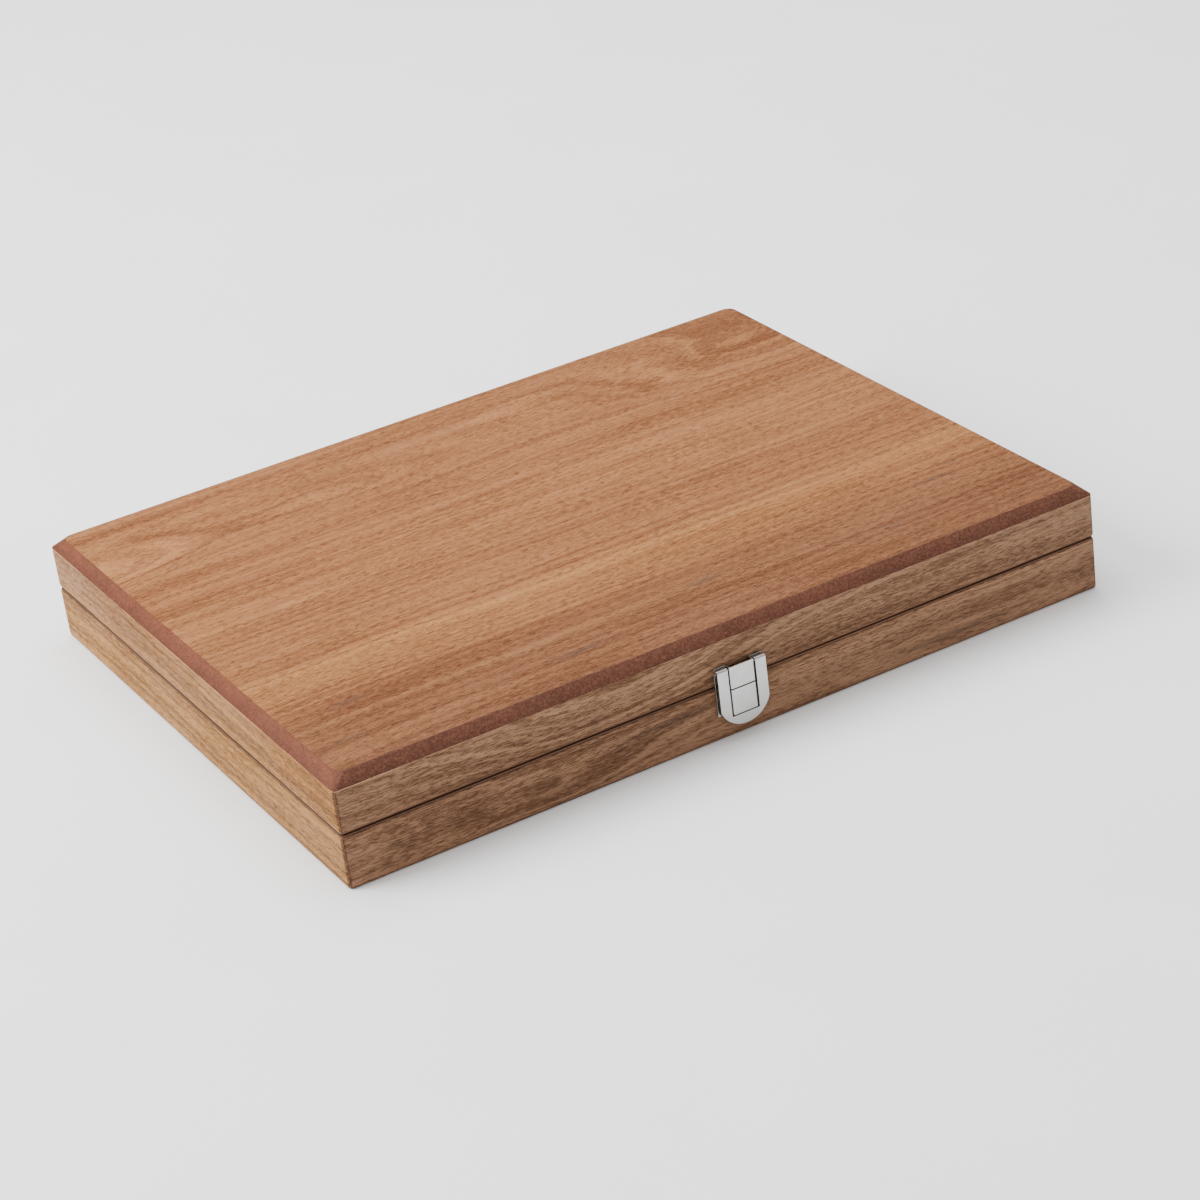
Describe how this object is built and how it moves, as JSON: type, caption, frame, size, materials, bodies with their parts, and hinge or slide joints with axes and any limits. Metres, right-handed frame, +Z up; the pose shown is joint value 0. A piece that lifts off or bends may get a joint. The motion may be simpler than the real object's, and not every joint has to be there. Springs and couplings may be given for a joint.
{
  "type": "poker chip case",
  "caption": "Flat hinged wooden case with felt-lined lid, front snap latch, and trays for poker chips, card decks and dice.",
  "frame": {"origin": "middle of the case's footprint, on the surface it stands on", "axes": "+X to the case's right along its length, +Y to the hinged back, +Z up; the latch is on -Y"},
  "size_m": [0.36, 0.2876, 0.0488],
  "materials": {
    "veneer": "satin open-grain veneer",
    "stained_board": "stained MDF edge",
    "board": "stained MDF",
    "bottom_board": "matt stained board",
    "felt": "green felt",
    "flocking": "green flocked surface",
    "hinge_metal": "nickel plated",
    "nickel": "polished nickel plate"
  },
  "bodies": {
    "base": {"base_panel": "bottom_board", "base_veneer_back": "veneer", "base_veneer_front": "veneer", "base_veneer_left": "veneer", "base_veneer_right": "veneer", "base_wall_back": "board", "base_wall_front": "board", "base_wall_left": "board", "base_wall_right": "board", "chip_tray_left": "flocking", "chip_tray_right": "flocking", "hinge_left_base_leaf": "hinge_metal", "hinge_left_pin": "hinge_metal", "hinge_right_base_leaf": "hinge_metal", "hinge_right_pin": "hinge_metal", "hinge_screws_base": "hinge_metal", "latch_keeper": "nickel", "latch_nails_base": "hinge_metal", "middle_tray": "flocking"},
    "lid": {"hinge_left_lid_leaf": "hinge_metal", "hinge_right_lid_leaf": "hinge_metal", "hinge_screws_lid": "hinge_metal", "latch_lid_plate": "nickel", "latch_nails_lid": "hinge_metal", "latch_pin": "nickel", "lid_lining_rim": "felt", "lid_lining_top": "felt", "lid_panel": "stained_board", "lid_veneer_back": "veneer", "lid_veneer_front": "veneer", "lid_veneer_left": "veneer", "lid_veneer_right": "veneer", "lid_veneer_top": "veneer", "lid_wall_back": "board", "lid_wall_front": "board", "lid_wall_left": "board", "lid_wall_right": "board"},
    "lever": {"latch_lever": "nickel"}
  },
  "joints": [
    {"name": "lid_hinge", "type": "hinge", "parent": "base", "child": "lid", "pos_m": [0, 0.14204, 0.0244], "axis": [-1, 0, 0], "range_deg": [0, 180]},
    {"name": "latch_swing", "type": "hinge", "parent": "lid", "child": "lever", "pos_m": [0, -0.1424, 0.03155], "axis": [-1, 0, 0], "range_deg": [0, 175]}
  ]
}
